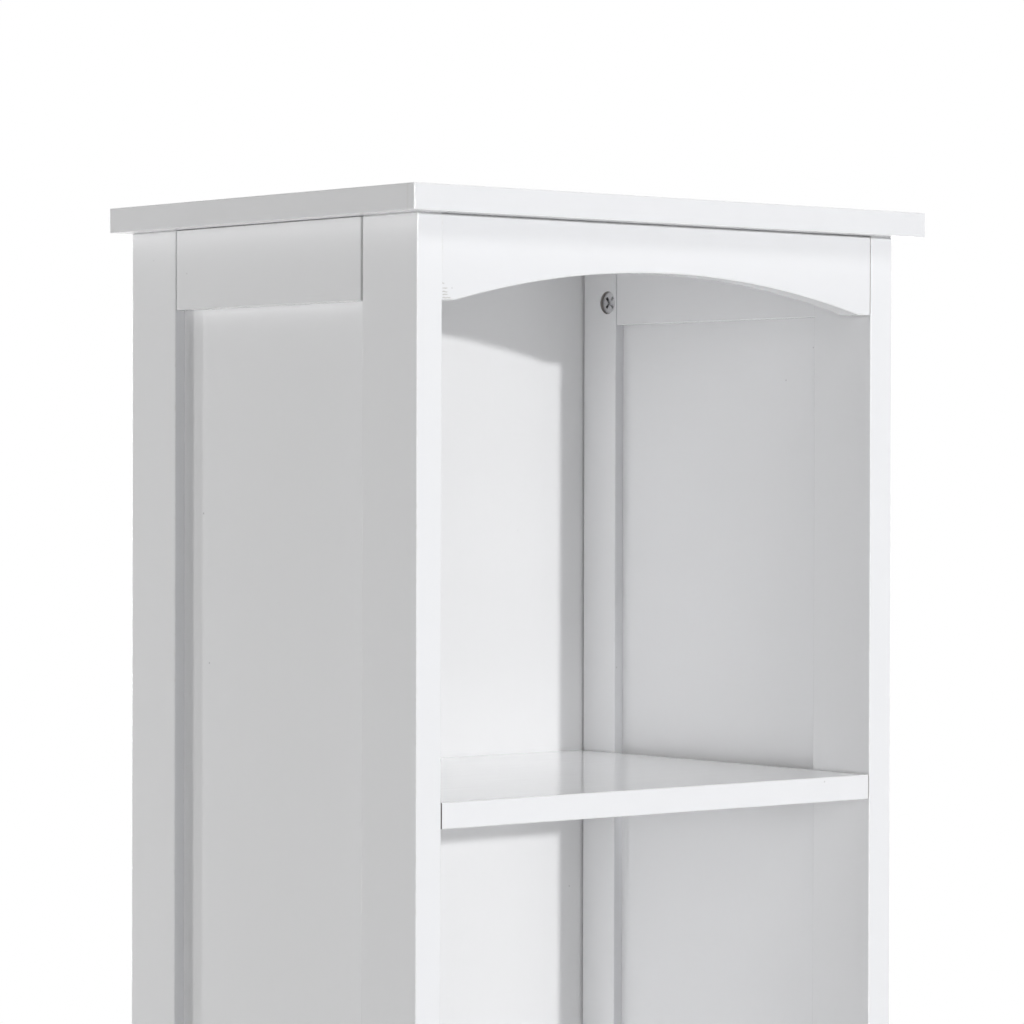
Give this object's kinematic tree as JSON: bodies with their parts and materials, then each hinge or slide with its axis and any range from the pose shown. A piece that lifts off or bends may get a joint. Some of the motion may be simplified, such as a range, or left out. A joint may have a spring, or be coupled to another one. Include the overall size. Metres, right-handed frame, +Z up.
{
  "type": "linen tower",
  "caption": "Tall narrow painted bathroom cabinet with open bays under an arched valance, a drawer on runners and a framed door on butt hinges.",
  "frame": {"origin": "on the floor, in the middle of the whole object's footprint, knobs included", "axes": "+Z up, -Y to the front, +X to the right as seen from the front"},
  "size_m": [0.4, 0.31, 1.6],
  "materials": {
    "white_paint": "satin white paint on wood and fibreboard",
    "zinc": "cast zinc",
    "steel": "zinc-plated steel",
    "nickel": "brushed nickel plate",
    "dowel_wood": "bare beech",
    "white_plastic": "moulded white plastic",
    "magnet": "dark ferrite block"
  },
  "bodies": {
    "case": {"top_panel": "white_paint", "left_front_stile": "white_paint", "left_rear_stile": "white_paint", "left_top_rail": "white_paint", "left_bottom_rail": "white_paint", "left_side_panel": "white_paint", "top_cam_locks": "zinc", "top_cam_bolts": "steel", "left_runner": "white_paint", "runner_screws": "steel", "right_front_stile": "white_paint", "right_rear_stile": "white_paint", "right_top_rail": "white_paint", "right_bottom_rail": "white_paint", "right_side_panel": "white_paint", "right_runner": "white_paint", "back_panel": "white_paint", "upper_shelf": "white_paint", "board_cam_locks": "zinc", "board_cam_bolts": "steel", "wood_dowels": "dowel_wood", "cabinet_deck": "white_paint", "drawer_divider": "white_paint", "cabinet_floor": "white_paint", "valance": "white_paint", "base_apron": "white_paint", "foot_glides": "white_plastic", "shelf_pins": "steel", "adjustable_shelf": "white_paint", "upper_hinge_frame_leaf": "nickel", "upper_hinge_pin": "nickel", "hinge_frame_screws": "nickel", "lower_hinge_frame_leaf": "nickel", "lower_hinge_pin": "nickel", "catch_housing": "white_plastic", "catch_magnet": "magnet", "catch_screws": "steel"},
    "door": {"door_hinge_stile": "white_paint", "door_latch_stile": "white_paint", "door_top_rail": "white_paint", "door_bottom_rail": "white_paint", "door_panel": "white_paint", "upper_hinge_door_leaf": "nickel", "lower_hinge_door_leaf": "nickel", "hinge_door_screws": "nickel", "door_knob": "nickel", "door_knob_screw": "steel", "strike_plate": "steel", "strike_screw": "steel"},
    "drawer": {"drawer_front": "white_paint", "drawer_left_side": "white_paint", "drawer_right_side": "white_paint", "drawer_back": "white_paint", "drawer_bottom": "white_paint", "drawer_screws": "steel", "drawer_knob": "nickel", "drawer_knob_screw": "steel"}
  },
  "joints": [
    {"name": "door_hinge", "type": "hinge", "parent": "case", "child": "door", "pos_m": [0.1668, -0.1329, 0.4225], "axis": [0, 0, 1], "range_deg": [0, 175]},
    {"name": "drawer_slide", "type": "slide", "parent": "case", "child": "drawer", "axis": [0, -1, 0], "range_m": [0, 0.17]}
  ]
}
